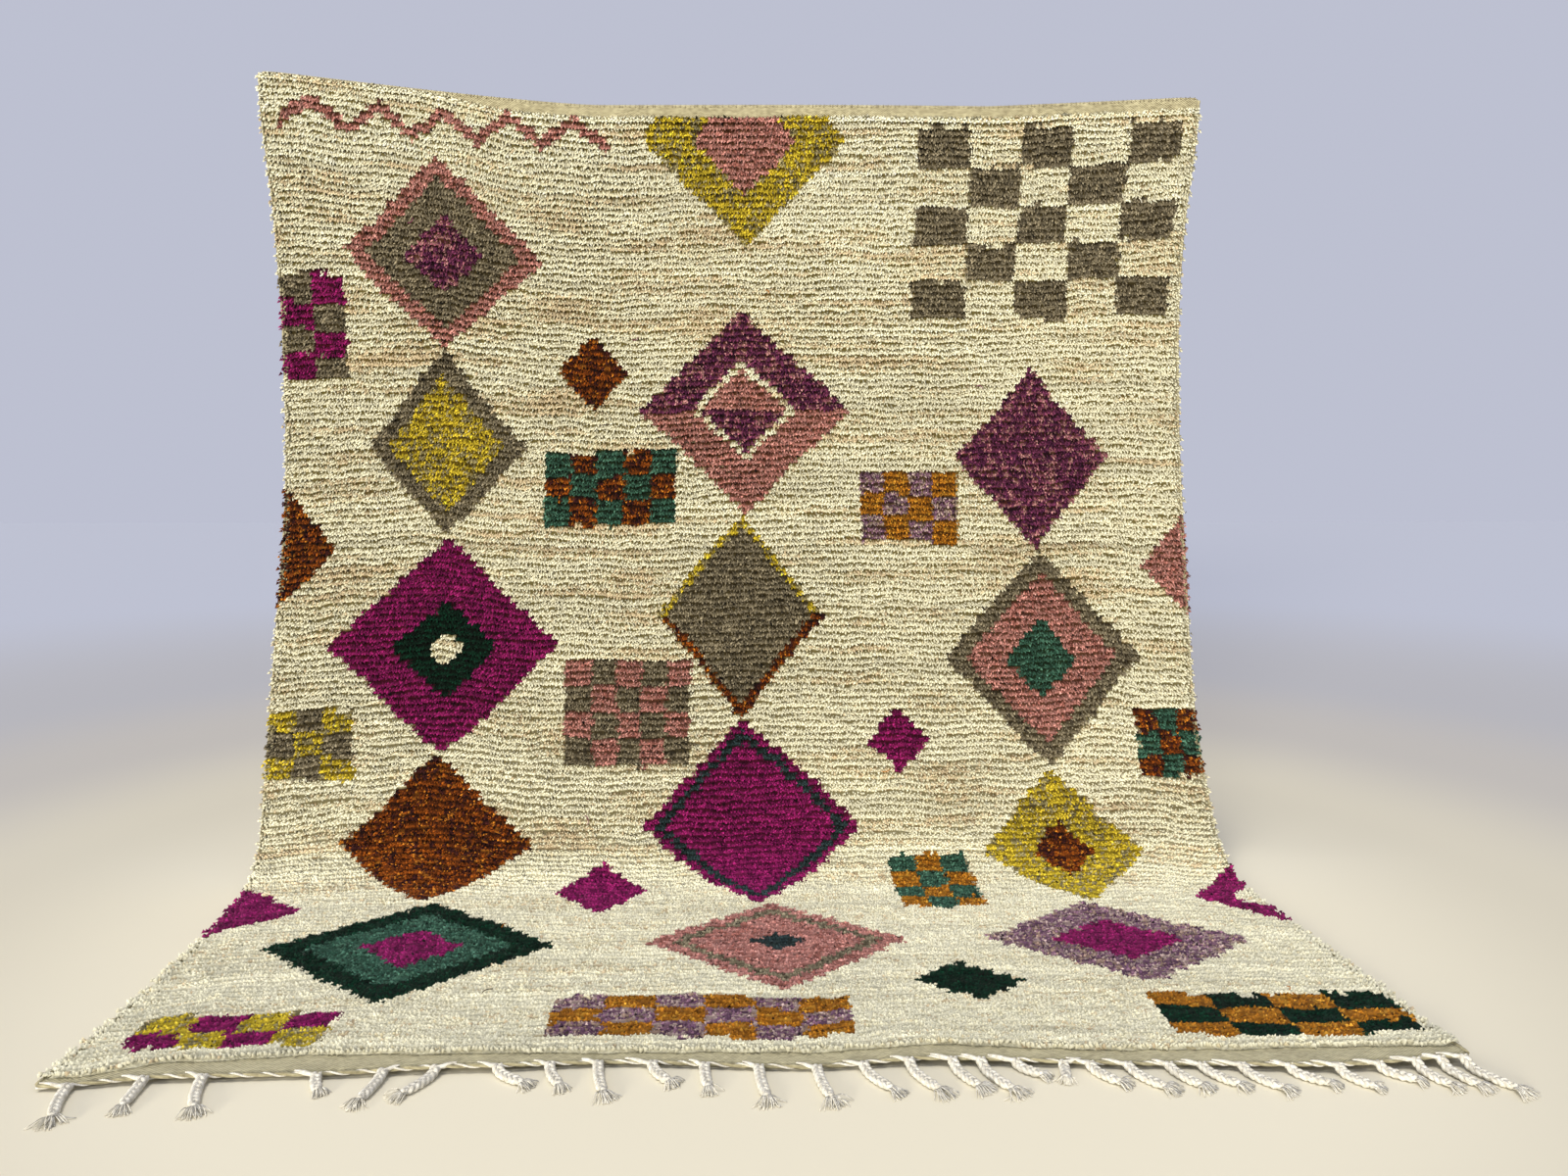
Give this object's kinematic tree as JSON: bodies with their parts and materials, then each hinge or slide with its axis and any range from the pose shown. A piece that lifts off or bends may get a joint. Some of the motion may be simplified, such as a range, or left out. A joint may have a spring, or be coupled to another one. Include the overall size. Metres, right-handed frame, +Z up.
{
  "type": "beni ourain rug",
  "caption": "Thick hand-knotted wool rug hung by its top edge, its foot curving forward to lie on the floor, with flat-woven ends and plaited cotton fringe.",
  "frame": {"origin": "on the floor, under the middle of the rug's bounding box", "axes": "+Z up, +X to the right of someone facing the pile, +Y away from that person, toward the hanging part"},
  "size_m": [2.1296, 1.2204, 1.6778],
  "materials": {
    "wool_pile": "matte hand-spun wool pile, ivory with dyed motifs",
    "flat_weave": "matte plain-woven wool and cotton ground",
    "cotton_fringe": "matte plaited cotton yarn"
  },
  "bodies": {
    "root": {"rug_body": "wool_pile", "hem_fringe": "cotton_fringe"}
  },
  "joints": []
}
